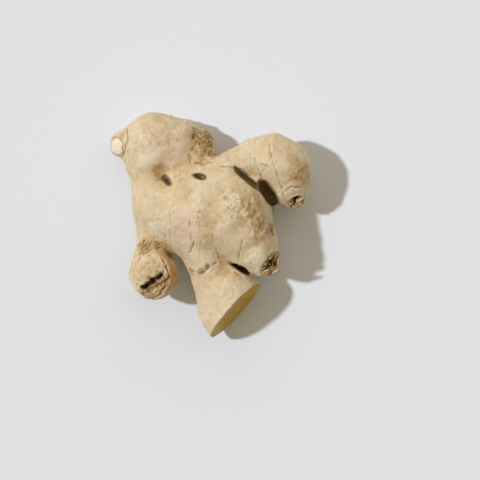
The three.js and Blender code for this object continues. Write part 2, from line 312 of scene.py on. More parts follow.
# Each pocket has its middle and half size in mm and its turn in degrees.
POCKETS = [
    ((-28.2, -27.6, 32.0), (6.4, 1.2, 9.0), 31), ((-25.0, -25.3, 32.0), (3.2, 1.5, 8.0), 50),
    ((-28.6, -27.0, 32.0), (2.2, 1.3, 7.0), 75), ((-27.0, -28.2, 32.0), (1.7, 1.0, 6.0), -30),
    ((-31.8, -30.2, 30.5), (2.8, 1.5, 8.0), 8), ((-21.2, 22.2, 27.5), (3.4, 1.6, 9), -48),
    ((-18.6, -15.6, 25.0), (4.2, 0.9, 8.0), -38), ((-4.7, 24, 29), (4.2, 1.6, 7), -19),
    ((15.4, -21.2, 22), (6.4, 1.6, 9), -31), ((10.8, -18.6, 25), (4.4, 0.75, 5), -26),
    ((18.6, 23, 30), (9, 2.0, 7), -42), ((29.2, 15.6, 26), (8.4, 3.3, 13), -57),
]
# Each scar has its middle, the way it faces, its radius, the number of its cracks and a seed.
STARS = [
    ((30.0, -18.6, 28.0), (0.74, -0.3, 0.6), 7.0, 8, 1),
    ((42.4, 12.2, 23.0), (0.45, -0.6, 0.66), 4.6, 7, 2),
    ((2.0, 38.5, 13.0), (0.94, -0.1, 0.3), 6.0, 7, 3),
    ((31.0, 6.2, 15.0), (0.9, -0.1, 0.3), 4.6, 6, 4),
    ((18.0, -2.0, 4.5), (0.35, 0.1, -0.93), 4.6, 6, 5),
]

bpy.ops.object.select_all(action="DESELECT")
bpy.ops.mesh.primitive_uv_sphere_add(segments=16, ring_count=10, radius=1)
egg = bpy.context.object


def placed_copy(model, name, middle, size, along, facing):
    """A copy of a model, its x turned along and its z turned to facing, at a place in mm."""
    z = Vector(facing).normalized()
    x = (Vector(along) - z * Vector(along).dot(z)).normalized()
    turn = Matrix((x, z.cross(x), z)).transposed().to_4x4()
    spot = Matrix.Translation(Vector(middle) * MM)
    mesh = model.data.copy()
    mesh.transform(spot @ turn @ Matrix.Diagonal((*(Vector(size) * MM), 1)))
    piece = bpy.data.objects.new(name, mesh)
    bpy.context.collection.objects.link(piece)
    return piece


def joined(pieces, name):
    """Makes one piece of several."""
    bpy.ops.object.select_all(action="DESELECT")
    for piece in pieces:
        piece.select_set(True)
    bpy.context.view_layer.objects.active = pieces[0]
    bpy.ops.object.join()
    pieces[0].name = name
    return pieces[0]


def scar_axes(facing):
    """Two directions at right angles in the plane of a scar."""
    facing = np.array(facing) / np.linalg.norm(facing)
    side = np.cross(facing, (0, 0, 1))
    side /= np.linalg.norm(side)
    return facing, side, np.cross(side, facing)


eggs = []
for middle, half, turn in POCKETS:
    way = (math.cos(math.radians(turn)), math.sin(math.radians(turn)), 0)
    eggs.append(placed_copy(egg, "egg", np.array(middle) - BOX_MIDDLE, half, way, (0, 0, 1)))
for middle, facing, radius, cracks, seed in STARS:
    random = np.random.default_rng(seed)
    facing, side, up = scar_axes(facing)
    for crack in range(cracks):
        angle = 2 * math.pi * (crack + random.uniform(-0.3, 0.3)) / cracks
        out = math.cos(angle) * side + math.sin(angle) * up
        way = out + random.uniform(-0.9, 0.9) * np.cross(facing, out)
        spot = np.array(middle) - BOX_MIDDLE + out * radius * random.uniform(0.3, 0.75)
        size = (radius * random.uniform(0.3, 0.5), random.uniform(0.45, 0.8), random.uniform(2.0, 3.2))
        eggs.append(placed_copy(egg, "egg", spot, size, way, facing))
bpy.data.objects.remove(egg)
gaps = joined(eggs, "gaps")
mesh_anew(gaps, POCKET_CELL)
gap_spots = read_places(gaps)
ragged = RAGGED * (noise(gap_spots, 1.7, 81) + 0.8 * noise(gap_spots, 0.8, 82))
from_slit = np.linalg.norm(gap_spots + BOX_MIDDLE - SLIT_MIDDLE, axis=1)
ragged *= np.where(from_slit < SLIT_REACH, SLIT_RAGGED, 1.0)
write_places(gaps, gap_spots + read_normals(gaps) * ragged[:, None])


def tree_of(piece):
    """A piece's faces, in mm, for finding the nearest place on it."""
    corners = [Vector(p) for p in read_places(piece)]
    return BVHTree.FromPolygons(corners, [tuple(p.vertices) for p in piece.data.polygons])


gap_tree = tree_of(gaps)
uncut_tree = tree_of(skin)
select_only(skin)
cut = skin.modifiers.new("gaps", "BOOLEAN")
cut.operation = "DIFFERENCE"
cut.solver = "MANIFOLD"
cut.object = gaps
bpy.ops.object.modifier_apply(modifier=cut.name)
bpy.data.objects.remove(gaps)
mesh_anew(skin, CELL)
ease_skin(LAST_EASING_ROUNDS)

places = read_places(skin)
normals = read_normals(skin)
edges = read_edges(skin)
count = len(places)
tree = tree_of(skin)
eye = Vector((VIEW_MIDDLE[0] / MM, VIEW_MIDDLE[1] / MM, CAMERA_HEIGHT / MM))


def on_skin(x, y):
    """The place on the skin, in mm, that is seen from above at x, y, or else the one nearest to it."""
    aim = Vector((x - BOX_MIDDLE[0], y - BOX_MIDDLE[1], SUBJECT_HEIGHT / MM))
    seen = tree.ray_cast(eye, (aim - eye).normalized())[0]
    return np.array(seen or tree.find_nearest(aim)[0])


def near_line(points):
    """Each place's distance from a line drawn on the skin through plan points, in mm: + to its left."""
    points = np.array(points, float)
    gaps = np.linalg.norm(np.diff(points, axis=0), axis=1)
    run = np.concatenate(([0], np.cumsum(gaps)))
    steps = np.arange(0, run[-1] + 0.3, 0.4)
    drawn = [on_skin(np.interp(s, run, points[:, 0]), np.interp(s, run, points[:, 1])) for s in steps]
    drawn = np.array(drawn)
    ways = np.gradient(drawn, axis=0)
    away = np.full(count, 99.0)
    low, high = drawn.min(axis=0) - 6, drawn.max(axis=0) + 6
    close = np.flatnonzero(np.all((places > low) & (places < high), axis=1))
    gap = places[close][:, None, :] - drawn[None, :, :]
    squares = np.sum(gap * gap, axis=2)
    foot = np.argmin(squares, axis=1)
    to_left = np.cross(normals[close], ways[foot])
    side = np.sign(np.sum(to_left * (places[close] - drawn[foot]), axis=1))
    away[close] = np.sqrt(np.min(squares, axis=1)) * np.where(side == 0, 1, side)
    return away


def near_spot(x, y):
    """Each skin place's distance from the place on the skin seen at x, y."""
    return np.linalg.norm(places - on_skin(x, y), axis=1)


# The walls of the gaps get painted shade: they are painted dark, and darker the deeper they lie under the
# skin. The gap beside the long finger is wide and lit, so its painted shade starts only further down.
WALL_REACH = 3.0
DEEPEST = 12.0
WIDE_GAP = (29.2, 15.6, 24.0)
WIDE_GAP_REACH = 14.0
past_cut = (places - CUT_POINT) @ CUT_TOWARDS
by_cut = np.linalg.norm(places - CUT_POINT, axis=1) < CUT_REACH
wall_off = np.array([gap_tree.find_nearest(Vector(p), WALL_REACH)[3] or WALL_REACH for p in places])
gap_shade = fade(wall_off, 0.6, 0.2)
sunk = np.zeros(count)
for index in np.flatnonzero(gap_shade > 0):
    sunk[index] = uncut_tree.find_nearest(Vector(places[index]), DEEPEST)[3] or 0.0
narrow = np.linalg.norm(places + BOX_MIDDLE - WIDE_GAP, axis=1) > WIDE_GAP_REACH
gap_shade *= 0.45 + np.where(narrow, 0.55, 0.38) * fade(sunk, 0.2, np.where(narrow, 1.3, 2.8))
limb_fits = {name: around_limb(places, name) for name in LIMBS}
names = list(LIMBS)
all_away = np.stack([limb_fits[name][0] for name in names])
closest = np.min(all_away, axis=0)

# Corky places: old stem ends, the knob's top and the collar under it have crumbled to dry brown
# cork. Each is a ball round a middle in mm, or round a spot of the plan, with how crumbly it is.
CORK_BALLS = [
    ((0.5, 39.0, 14.0), 9.5, 1.0), ((-4.0, 33.0, 18.0), 5.0, 0.9), ((-5.0, 44.0, 20.0), 6.5, 0.8),
    ((-7.0, 38.0, 25.0), 4.0, 0.6), ((-31.0, -11.2, 24.0), 5.6, 1.0), ((-26.0, -10.0, 26.0), 3.6, 0.8),
    ((29.0, -1.5, 28.0), 4.6, 0.85), ((24.0, 1.0, 36.0), 3.6, 0.4), ((30.5, 6.0, 15.5), 7.0, 1.0),
    ((43.0, 11.0, 21.0), 5.6, 0.9), ((45.5, 25.0, 22.0), 5.5, 0.5), ((31.5, -19.8, 29.0), 6.4, 1.0),
    ((18.0, -2.0, 5.0), 7.0, 0.9),
]
CORK_SPOTS = [
    ((-4.6, -22.6), 2.8, 0.8), ((-1.6, -21.0), 2.2, 0.7), ((28.3, -2.3), 2.8, 0.8), ((24.3, -0.6), 2.2, 0.6),
    ((-1.0, 41.5), 5.0, 0.8), ((36.5, 8.5), 2.5, 0.5), ((-9.5, -22.5), 2.0, 0.5),
]
KNOB_MIDDLE = np.array((-28.0, -25.6, 20.0)) - BOX_MIDDLE
KNOB_CAP = np.array((-0.28, 0.05, 0.96))
KNOB_CAP_EDGE = 0.62
KNOB_REACH = 17.0

wander = 2.2 * noise(places, 4.0, 11) + 0.9 * noise(places, 1.5, 12)
cork = np.zeros(count)
for middle, radius, strength in CORK_BALLS:
    off = np.linalg.norm(places + BOX_MIDDLE - middle, axis=1) + wander
    cork = np.maximum(cork, strength * fade(off, radius, radius - 2.5))
for spot, radius, strength in CORK_SPOTS:
    cork = np.maximum(cork, strength * fade(near_spot(*spot) + 0.5 * wander, radius, 0.4 * radius))
from_knob = places - KNOB_MIDDLE
knob_reach = np.linalg.norm(from_knob, axis=1)
cap_lean = from_knob @ KNOB_CAP / knob_reach + 0.03 * wander
cap = fade(cap_lean, KNOB_CAP_EDGE, KNOB_CAP_EDGE + 0.06) * (knob_reach < KNOB_REACH)

# Leaf scars: where an old leaf sat, a ring runs round the limb, a low ridge with a fine furrow along
# it. Each ring is broken up and wanders, and fades where another limb takes over.
RUN_EASING_ROUNDS = 40
RING_RIDGE = 0.24
RING_FURROW = 0.2
ring = np.zeros(count)
ring_off = np.full(count, 9.0)
ring_relief = np.zeros(count)
for index, name in enumerate(names):
    away, run, _ = limb_fits[name]
    run = eased(run, edges, RUN_EASING_ROUNDS)[:, 0]
    length = limb_line(LIMBS[name])[2][-1]
    mine = np.exp(-(((away - closest) / 1.6) ** 2))
    for number, share in enumerate(RINGS.get(name, ())):
        off = run - share * length + 1.9 * noise(places, 9.0, 20) + 0.6 * noise(places, 2.6, 21)
        broken = mine * np.clip(0.6 + 0.7 * noise(places, 5.5, 30 + number + index * 7), 0, 1)
        ring_relief += broken * RING_RIDGE * np.exp(-((off - 0.7) / 0.9) ** 2)
        ring_relief -= broken * RING_FURROW * np.exp(-((off / 0.45) ** 2))
        nearer = np.abs(off) < np.abs(ring_off)
        ring_off[nearer] = off[nearer]
        ring = np.maximum(ring, broken * fade(np.abs(off), 1.4, 0.8))
shares = np.exp(-(all_away - closest) / 0.9)
shares /= shares.sum(axis=0)
limb_run = sum(shares[index] * limb_fits[name][1] for index, name in enumerate(names))
limb_run = eased(limb_run, edges, RUN_EASING_ROUNDS)[:, 0]

# Furrows and cracks that the skin shows: each is a line of plan points in mm, with its half width,
# its depth and how dark it is. A negative depth is a raised lip.
FURROWS = [
    ([(-7.8, -8.0), (-9.0, -10.8), (-10.2, -13.5)], 0.45, 0.55, 0.8),
    ([(1.2, -5.0), (3.0, -12.0), (5.7, -18.5)], 0.4, 0.35, 0.35),
    ([(-22.5, 0.0), (-22.3, -6.0), (-21.6, -12.5)], 0.45, 0.22, 0.2),
    ([(-10.3, 5.0), (-10.0, -2.0), (-9.4, -7.5)], 0.45, 0.22, 0.2),
    ([(16.2, -7.5), (14.2, -16.5), (13.6, -22.0)], 0.45, 0.4, 0.3),
    ([(22.2, 33.5), (23.3, 29.5), (25.7, 23.5)], 0.5, 0.4, 0.4),
    ([(29.7, 41.0), (30.5, 34.5), (32.7, 28.5), (36.7, 15.0)], 0.5, 0.4, 0.3),
    ([(25.7, 31.0), (28.7, 29.5)], 0.4, 0.35, 0.5),
    ([(36.7, 16.5), (40.5, 19.2), (44.7, 19.0)], 0.5, 0.5, 0.45),
    ([(5.7, 29.6), (12.0, 29.3), (17.0, 26.8)], 0.5, 0.45, 0.45),
    ([(3.7, -18.4), (0.5, -20.3), (-2.8, -23.5)], 0.45, 0.6, 0.7),
    ([(12.7, -23.5), (15.0, -25.2), (18.7, -27.0)], 0.5, 0.45, 0.4),
    ([(12.2, -33.0), (11.2, -36.0)], 0.4, 0.35, 0.5),
    ([(-31.0, 50.0), (-29.5, 46.5), (-27.0, 44.5)], 0.4, 0.3, 0.2),
    ([(-33.5, 46.0), (-31.0, 42.5), (-28.5, 40.5)], 0.4, 0.25, 0.15),
    ([(-10.4, 35.5), (-9.6, 32.8), (-9.9, 30.6)], 0.45, 0.5, 0.35),
    ([(-7.0, 31.2), (-3.0, 30.6), (0.4, 31.8)], 0.6, 0.9, 0.8),
    ([(-23.0, -17.8), (-20.4, -25.3), (-24.5, -34.4), (-29.0, -37.0)], 0.7, 0.9, 0.8),
    ([(19.4, -17.6), (21.4, -15.2), (22.2, -12.4)], 0.35, 0.22, 0.15),
    ([(20.6, -18.4), (22.8, -15.8), (23.8, -12.6)], 0.35, 0.22, 0.15),
    ([(18.6, -15.8), (20.2, -13.4)], 0.35, 0.2, 0.12),
    ([(-41.6, 48.4), (-41.2, 42.0), (-43.6, 34.6)], 0.6, 0.9, 0.4),
]
furrow = np.zeros(count)
furrow_off = np.full(count, 9.0)
furrow_relief = np.zeros(count)
for points, half_width, depth, dark in FURROWS:
    away = near_line(points) + 0.5 * noise(places, 1.6, 40)
    broken = np.clip(0.75 + 0.8 * noise(places, 2.6, 41), 0, 1)
    furrow_relief -= broken * depth * np.exp(-((away / half_width) ** 2))
    furrow_relief += 0.35 * depth * np.exp(-(((away - 2.2 * half_width) / half_width) ** 2))
    nearer = np.abs(away) < np.abs(furrow_off)
    furrow_off[nearer] = away[nearer]
    furrow = np.maximum(furrow, dark * broken * fade(np.abs(away), 1.6, 0.9))

# Root scars: little warts with a sunken eye, where roots once grew. The ones that show are placed
# by plan points, and the rest are scattered, more of them low down.
WARTS = [
    (18.2, 4.5, 1.5), (-5.0, 6.6, 2.3), (-2.6, 3.8, 1.2), (0.6, 1.0, 1.1), (-6.4, 3.6, 1.0),
    (-1.0, -2.5, 1.1), (-3.5, -4.2, 1.0), (-7.0, 1.5, 1.0),
    (16.0, 11.5, 1.2), (9.0, 12.0, 1.0), (22.0, 12.5, 1.3), (20.3, 17.0, 1.1), (13.5, 2.0, 1.0),
    (28.3, -2.2, 1.8), (24.5, -0.8, 1.3), (26.2, -4.2, 1.1), (2.0, -30.0, 0.9),
    (17.5, -25.5, 1.0), (-33.0, 44.0, 1.0),
]
SCATTERED_WARTS = 90
WART_SEED = 5
random = np.random.default_rng(WART_SEED)
wart_spots = [(on_skin(x, y), radius) for x, y, radius in WARTS]
weights = np.where(places[:, 2] < 24, 1.0, 0.25) * (places[:, 2] > 1.5)
for index in random.choice(count, SCATTERED_WARTS, replace=False, p=weights / weights.sum()):
    wart_spots.append((places[index], random.uniform(0.6, 1.3)))
wart = np.zeros(count)
wart_relief = np.zeros(count)
for spot, radius in wart_spots:
    off = np.linalg.norm(places - spot, axis=1) / radius
    wart_relief += 0.42 * radius * np.exp(-(off ** 2)) - 0.36 * radius * np.exp(-((off / 0.42) ** 2))
    wart = np.maximum(wart, np.exp(-((off / 0.4) ** 2)))

# The fine skin: soft lumps, lengthwise wrinkles along each limb, and crumbs in the cork. The skin
# is rougher round some spots of the plan, each with its radius in mm and a strength.
lengthwise = np.zeros(count)
for index, name in enumerate(names):
    way = limb_fits[name][2]
    sideways = places - (places * way).sum(axis=1)[:, None] * way * 0.82
    lengthwise += shares[index] * noise(sideways, 1.9, 50 + index)
crumbs = ridges(places, 2.6, 61) * 0.55 + ridges(places, 1.3, 62) * 0.45
fine_relief = 0.32 * noise(places, 7.0, 63) + 0.15 * noise(places, 3.1, 64) + 0.08 * noise(places, 1.5, 65)
fine_relief += 0.11 * lengthwise * fade(noise(places, 12.0, 66), -0.5, 0.4)
fine_relief -= 0.12 * ridges(places, 4.6, 67) ** 2 * fade(noise(places, 15.0, 68), -0.3, 0.5)
cork_relief = cork * (1.3 * crumbs - 0.9)
ROUGH_SPOTS = [
    ((19.0, 7.0), 10.5, 1.0), ((25.5, -1.0), 7.5, 1.0), ((11.0, 15.0), 6.0, 1.0),
    ((-4.0, 41.0), 10.0, 1.0), ((-20.0, 42.0), 9.0, 0.5),
]
rough = np.zeros(count)
for number, (spot, radius, strength) in enumerate(ROUGH_SPOTS):
    off = near_spot(*spot) + 0.25 * radius * noise(places, 5.0, 140 + number)
    rough = np.maximum(rough, strength * fade(off, radius, 0.5 * radius))
fine_relief += rough * (0.5 * noise(places, 3.4, 69) + 0.4 * noise(places, 1.7, 73))

# The knob's split top: torn ridges and grooves run beside the slit, and the cap ends in a low rim.
# Each ridge has its distance from the slit, its half width and its height in mm.
SLIT_WAY = np.array((0.857, 0.515))
SLIT_RIDGES = [(1.9, 0.6, 0.8), (3.3, 0.7, -1.0), (4.9, 0.7, 0.7), (-1.8, 0.6, 0.45)]
from_slit = (places + BOX_MIDDLE - SLIT_MIDDLE)[:, :2]
slit_run = from_slit @ SLIT_WAY + 0.8 * noise(places, 3.0, 91)
slit_off = from_slit @ (SLIT_WAY[1], -SLIT_WAY[0]) + 0.9 * noise(places, 2.4, 92)
on_knob = (knob_reach < KNOB_REACH) * (normals[:, 2] > 0.1)
beside = on_knob * fade(np.abs(slit_run), 9.5, 6.0)
torn = beside * fade(slit_off, 0.2, 1.4) * fade(slit_off, 6.6, 5.2)
rim_ease = np.exp(-(((cap_lean - KNOB_CAP_EDGE) / 0.045) ** 2)) * (knob_reach < KNOB_REACH)
knob_relief = 0.35 * rim_ease
for off, half_width, height in SLIT_RIDGES:
    knob_relief += beside * height * np.exp(-(((slit_off - off) / half_width) ** 2))
knob_relief += torn * 0.5 * noise(places, 1.5, 93)
knob_relief += cap * (0.4 * noise(places, 2.2, 94) + 0.35 * noise(places, 1.3, 96))

# Swells and dips of the skin that are too small for the solid: each has its spot in the plan, its
# radius and its height in mm.
SWELLS = [
    ((24.3, -15.8), 5.0, 1.5), ((-23.6, 26.3), 3.6, -1.3), ((28.0, -2.2), 2.6, 0.9),
    ((24.0, -0.2), 2.2, 0.7), ((18.5, 4.6), 2.6, 0.8), ((13.0, 12.5), 3.5, 0.7),
    ((22.0, 12.0), 3.0, 0.7), ((17.0, 17.5), 3.2, -0.6), ((-19.5, 56.3), 1.2, 0.9),
    ((-11.5, 53.6), 1.1, 0.8), ((-42.0, -24.5), 2.8, 1.1), ((-3.0, -17.0), 5.0, 0.5),
    ((-8.0, 38.0), 4.5, 0.7), ((-3.0, 44.5), 3.5, 0.8), ((-24.0, 46.0), 4.5, 0.5),
]
swell_relief = np.zeros(count)
for spot, radius, height in SWELLS:
    swell_relief += height * np.exp(-((near_spot(*spot) / radius) ** 2))

# Dried stem scars: where a stem died back, a shallow dish is left in the skin. It has a raised rim and a
# middle painted dark as painted shade, and its cracks are already cut.
SCAR_RIM = 0.5
SCAR_DEPTH = 1.3
SCAR_REACH = 7.0
scar_relief = np.zeros(count)
scar_floor_shade = np.zeros(count)
for middle, facing, radius, _, seed in STARS:
    facing, _, _ = scar_axes(facing)
    away = places + BOX_MIDDLE - middle
    ahead = away @ facing
    out = np.linalg.norm(away - ahead[:, None] * facing, axis=1) + 0.5 * noise(places, 2.0, 100 + seed)
    near = (np.abs(ahead) < SCAR_REACH) * (normals @ facing > 0)
    scar_relief += near * SCAR_RIM * np.exp(-(((out - radius) / 0.6) ** 2))
    scar_relief -= near * SCAR_DEPTH * fade(out, 0.95 * radius, 0.6 * radius)
    scar_floor_shade = np.maximum(scar_floor_shade, near * fade(out, 0.8 * radius, 0.4 * radius))

# All the relief moves the skin along its normals. What a little easing would fill is a hollow, which gets
# painted shade, and what much easing would fill is a valley between the swells, which gets painted shade
# while the bumps get a painted highlight.
HOLLOW_ROUNDS = 14
HOLLOW_DEPTH = 0.35
VALLEY_ROUNDS = 50
VALLEY_DEPTH = 0.22
on_cut = by_cut & (past_cut > -0.2)
relief = ring_relief + furrow_relief + wart_relief + fine_relief + cork_relief + knob_relief
relief += scar_relief + swell_relief
hold = free_to_move(places, 0.2, 1.4)
relief *= hold
hollow_shade = np.clip((eased(relief, edges, HOLLOW_ROUNDS)[:, 0] - relief) / HOLLOW_DEPTH, 0, 1)
places = places + normals * relief[:, None]
places[:, 2] = np.maximum(places[:, 2], 0.0)
write_places(skin, places)
normals = read_normals(skin)
inward = np.sum((eased(places, edges, VALLEY_ROUNDS) - places) * normals, axis=1)
crease_shade_and_highlight = np.clip(inward / VALLEY_DEPTH, -1, 1)

# What the finish reads from the mesh, at every point of the skin. The marks are mostly shares from 0
# to 1, but the run along a limb and the distances from a ring, a furrow and the rind are in mm.
rim_points = places[by_cut & (past_cut < -0.25) & (past_cut > -1.0)]
cut_points = np.flatnonzero(on_cut)
rind = np.zeros(count)
for start in range(0, len(cut_points), 500):
    some = cut_points[start:start + 500]
    gap = places[some][:, None, :] - rim_points[None, :, :]
    rind[some] = np.sqrt(np.min(np.sum(gap * gap, axis=2), axis=1))


def patch(spot, edge, inner, wander, length, seed):
    """1 round a spot of the plan and 0 past the edge, in mm, which wanders by a noise."""
    return fade(near_spot(*spot) + wander * noise(places, length, seed), edge, inner)


# A rosy blush, and pale patches that are partly the skin's own paler tone and partly a painted highlight,
# brightest on the glossy spot of the tip, which is also smoother.
blush = patch((-13.0, -3.0), 13, 5, 4, 5.0, 70)
blush = np.maximum(blush, 0.7 * patch((-20, 37), 14, 5, 4, 5.0, 71))
pale_and_highlight = patch((-3.0, -17.0), 10, 3, 2, 4.0, 72)
pale_and_highlight = np.maximum(pale_and_highlight, 0.15 * patch((3.0, -36.0), 17, 8, 3, 6.0, 76))
pale_and_highlight = np.maximum(pale_and_highlight, 0.5 * patch((-30.0, 32.0), 9, 4, 3, 6.0, 77))
gloss = patch((22.3, -16.3), 8, 3.5, 1.0, 3.0, 73)
pale_and_highlight = np.maximum(pale_and_highlight, gloss)
# The skin has peeled off the bud's side, in an oval with a brown edge.
PEEL_SPOT = (-46.9, 39.3)
PEEL_SHAPE = (0.85, 1.25, 1.0)
peel_off = np.linalg.norm((places - on_skin(*PEEL_SPOT)) / PEEL_SHAPE, axis=1)
peel_off += 0.7 * noise(places, 2.4, 74)
peeled = fade(peel_off, 3.8, 3.3)
peel_edge = np.exp(-(((peel_off - 4.0) / 0.35) ** 2))
# Brown stains: each has its spot in the plan and its radius in mm, and its strength.
STAINS = [
    ((-3.0, 40.5), 12.5, 1.0), ((-11.0, 45.0), 7.0, 0.5), ((45.0, 26.5), 8.5, 1.0),
    ((41.0, 33.5), 5.0, 0.5), ((41.0, 13.0), 6.0, 0.6), ((13.0, 26.5), 4.6, 0.55),
    ((21.0, 10.5), 8.5, 0.6), ((26.0, 0.5), 8.0, 0.65), ((25.0, -5.0), 5.0, 0.5),
    ((-17.5, -27.0), 8.5, 0.95), ((-44.0, 45.0), 3.0, 0.6), ((-26.0, 27.0), 6.0, 0.7),
    ((-31.0, -10.0), 6.0, 0.6), ((15.0, -20.5), 5.0, 0.6), ((-27.0, -23.5), 9.5, 0.4),
    ((-24.5, 26.5), 5.5, 0.65),
]
stain = np.zeros(count)
for number, (spot, radius, strength) in enumerate(STAINS):
    off = near_spot(*spot) + 0.3 * radius * noise(places, 4.0, 80 + number)
    stain = np.maximum(stain, strength * fade(off, radius, 0.35 * radius))

# Amber: the knob's side that faces away from the window light is tinted amber as a painted warm shade, and
# some of the warts have real amber halos. Each halo has a spot, an inner and an outer radius.
HALOS = [
    ((-5.5, 5.8), 1.4, 2.6), ((0.5, 0.0), 0.8, 2.2), ((-1.5, -6.0), 0.0, 1.6),
    ((18.0, 4.5), 1.0, 2.2),
]
# Painted shade: the knob's side that faces away from the light is tinted amber.
amber_and_side_shade = on_knob * fade(cap_lean, 0.66, 0.56) * fade(normals[:, 0], -0.1, 0.6)
for spot, inner, outer in HALOS:
    off = near_spot(*spot) + 0.5 * noise(places, 1.4, 95)
    amber_and_side_shade = np.maximum(amber_and_side_shade, 0.8 * fade(off, outer + 0.6, outer) * fade(off, inner - 0.6, inner + 0.2))
cork = np.maximum(cork, 0.85 * torn)
marks = {
    "amber_and_side_shade": amber_and_side_shade, "crease_shade_and_highlight": crease_shade_and_highlight, "gap": gap_shade, "cork": cork * hold, "ring": ring * hold,
    "furrow": furrow * hold, "wart": wart * hold, "hollow_shade": hollow_shade, "rind": rind, "blush": blush,
    "pale_and_highlight": pale_and_highlight, "peeled": peeled, "stain": stain, "fibre": lengthwise, "peel_edge": peel_edge,
    "gloss": gloss, "ring_off": ring_off, "furrow_off": furrow_off, "run": limb_run,
    "scar_floor_shade": scar_floor_shade * hold,
}
for name, values in marks.items():
    layer = skin.data.attributes.new(name, "FLOAT", "POINT")
    layer.data.foreach_set("value", values.astype(np.float32))
bpy.ops.object.shade_smooth()


# The finish of the skin: thin tan cork over yellow flesh, mottled cream and ochre. The rings, furrows and
# warts are browner, the crumbled cork is straw and brown, the hollows, creases and gaps get painted shade,
# and the bumps a painted highlight.
class Finish:
    """A material's nodes, added and joined a line at a time."""

    def __init__(self, name):
        self.material = bpy.data.materials.new(name)
        self.material.use_nodes = True
        self.nodes = self.material.node_tree.nodes
        self.links = self.material.node_tree.links
        self.shader = self.nodes["Principled BSDF"]
        self.place = self.nodes.new("ShaderNodeTexCoord").outputs["Object"]

    def join(self, value, socket):
        """Links another node's output to a socket, or sets the socket to a constant."""
        if isinstance(value, bpy.types.NodeSocket):
            self.links.new(value, socket)
        else:
            socket.default_value = value

    def mark(self, name):
        """A value that the mesh keeps at every point."""
        node = self.nodes.new("ShaderNodeAttribute")
        node.attribute_name = name
        return node.outputs["Fac"]

    def grain(self, length, detail=3.0, roughness=0.55, shift=0.0):
        """Noise from 0 to 1 that changes over the length in mm."""
        mapping = self.nodes.new("ShaderNodeMapping")
        scale = 1 / (length * MM)
        mapping.inputs["Scale"].default_value = (scale, scale, scale)
        mapping.inputs["Location"].default_value = (shift, shift, shift)
        self.links.new(self.place, mapping.inputs["Vector"])
        node = self.nodes.new("ShaderNodeTexNoise")
        node.inputs["Scale"].default_value = 1.0
        node.inputs["Detail"].default_value = detail
        node.inputs["Roughness"].default_value = roughness
        self.links.new(mapping.outputs["Vector"], node.inputs["Vector"])
        return node.outputs["Fac"]

    def line(self, name, half_width):
        """A crisp thin line where a signed distance in mm, kept on the mesh, is zero."""
        off = self.maths("ABSOLUTE", self.mark(name), 0.0)
        return self.step(off, half_width, 0.25 * half_width)

    def cracks(self, length, width, shift=0.0):
        """Wandering lines, where noise of the length in mm crosses its middle."""
        off = self.maths("SUBTRACT", self.grain(length, shift=shift), 0.5)
        off = self.maths("ABSOLUTE", off, 0.0)
        return self.step(off, width, 0.3 * width)

    def step(self, value, none, full, low=0.0, high=1.0):
        """A soft step: low where the value is none, high where it is full."""
        node = self.nodes.new("ShaderNodeMapRange")
        node.interpolation_type = "SMOOTHSTEP"
        node.inputs["From Min"].default_value = none
        node.inputs["From Max"].default_value = full
        node.inputs["To Min"].default_value = low
        node.inputs["To Max"].default_value = high
        self.join(value, node.inputs["Value"])
        return node.outputs["Result"]

    def times(self, a, b):
        return self.maths("MULTIPLY", a, b)

    def maths(self, operation, a, b):
        node = self.nodes.new("ShaderNodeMath")
        node.operation = operation
        self.join(a, node.inputs[0])
        self.join(b, node.inputs[1])
        return node.outputs[0]

    def mix(self, share, a, b):
        """The colour a where the share is 0, and b where it is 1."""
        node = self.nodes.new("ShaderNodeMix")
        node.data_type = "RGBA"
        self.join(share, node.inputs[0])
        self.join(a, node.inputs[6])
        self.join(b, node.inputs[7])
        return node.outputs[2]

    def bump(self, height, depth):
        """Fine relief of the depth in mm."""
        node = self.nodes.new("ShaderNodeBump")
        node.inputs["Distance"].default_value = depth * MM
        self.join(height, node.inputs["Height"])
        self.links.new(node.outputs["Normal"], self.shader.inputs["Normal"])


TAN = (0.68, 0.51, 0.295, 1)
CREAM = (0.735, 0.60, 0.395, 1)
OCHRE = (0.60, 0.355, 0.10, 1)
ROSE = (0.78, 0.565, 0.42, 1)
AMBER_AND_SHADE = (0.70, 0.45, 0.18, 1)
IVORY_AND_HIGHLIGHT = (0.91, 0.785, 0.56, 1)
BROWN = (0.32, 0.15, 0.038, 1)
CORK_STRAW = (0.65, 0.445, 0.185, 1)
STAIN_BROWN = (0.34, 0.165, 0.042, 1)
STAIN_AND_SHADE_TAN = (0.60, 0.35, 0.105, 1)
FURROW_AND_SHADE_BROWN = (0.17, 0.09, 0.032, 1)
CRACK_AND_SHADE_DARK = (0.075, 0.038, 0.016, 1)
WART_EYE = (0.30, 0.18, 0.085, 1)

f = Finish("ginger_skin")
colour = f.mix(f.step(f.grain(13.0), 0.38, 0.62), TAN, CREAM)
colour = f.mix(f.step(f.grain(4.2, shift=3.0), 0.5, 0.72, high=0.28), colour, OCHRE)
colour = f.mix(f.step(f.grain(1.9, shift=9.0), 0.48, 0.7, high=0.25), colour, CREAM)
colour = f.mix(f.step(f.mark("fibre"), 0.15, 0.9, high=0.25), colour, OCHRE)
rosy = f.times(f.mark("blush"), f.step(f.grain(2.4, shift=5.0), 0.3, 0.65))
colour = f.mix(rosy, colour, ROSE)
# Pale skin, partly a painted highlight, brightest on the glossy tip.
colour = f.mix(f.times(f.mark("pale_and_highlight"), 0.65), colour, IVORY_AND_HIGHLIGHT)
# Painted warm shade on the knob's side away from the light, and amber halos round some warts.
colour = f.mix(f.times(f.mark("amber_and_side_shade"), 0.75), colour, AMBER_AND_SHADE)
